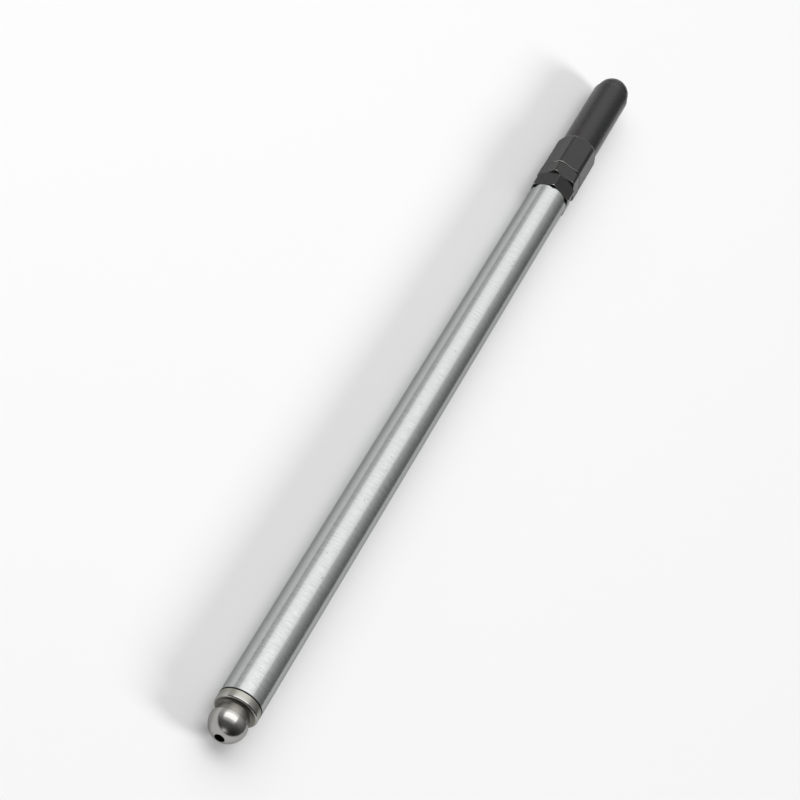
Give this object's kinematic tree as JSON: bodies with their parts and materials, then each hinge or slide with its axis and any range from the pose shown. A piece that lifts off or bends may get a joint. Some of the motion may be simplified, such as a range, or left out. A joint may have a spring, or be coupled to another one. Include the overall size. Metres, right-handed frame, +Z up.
{
  "type": "adjustable engine pushrod",
  "caption": "Slim aluminium pushrod tube with a drilled steel ball end and, at the other end, a black screw adjuster with hexes, lock nut and rounded tip.",
  "frame": {"origin": "middle of the part's bounding box, on the surface that it lies on", "axes": "+X along the rod from the drilled ball end to the adjuster's rounded tip, +Z up from the surface, +Y across the rod"},
  "size_m": [0.2614, 0.0126, 0.0118],
  "materials": {
    "aluminium": "smooth drawn tube, lightly polished",
    "steel": "ground and polished steel",
    "black_steel": "black oxide, satin"
  },
  "bodies": {
    "rod": {"tube": "aluminium", "ball_end": "steel", "threaded_insert": "black_steel"},
    "nut": {"lock_nut": "black_steel"},
    "adjuster": {"adjuster_screw": "black_steel"}
  },
  "joints": [
    {"name": "adjuster_slide", "type": "slide", "parent": "rod", "child": "adjuster", "axis": [1, 0, 0], "range_m": [0, 0.01]},
    {"name": "nut_turn", "type": "hinge", "parent": "rod", "child": "nut", "pos_m": [0.08174, 0, 0.00592], "axis": [1, 0, 0], "continuous": true}
  ]
}
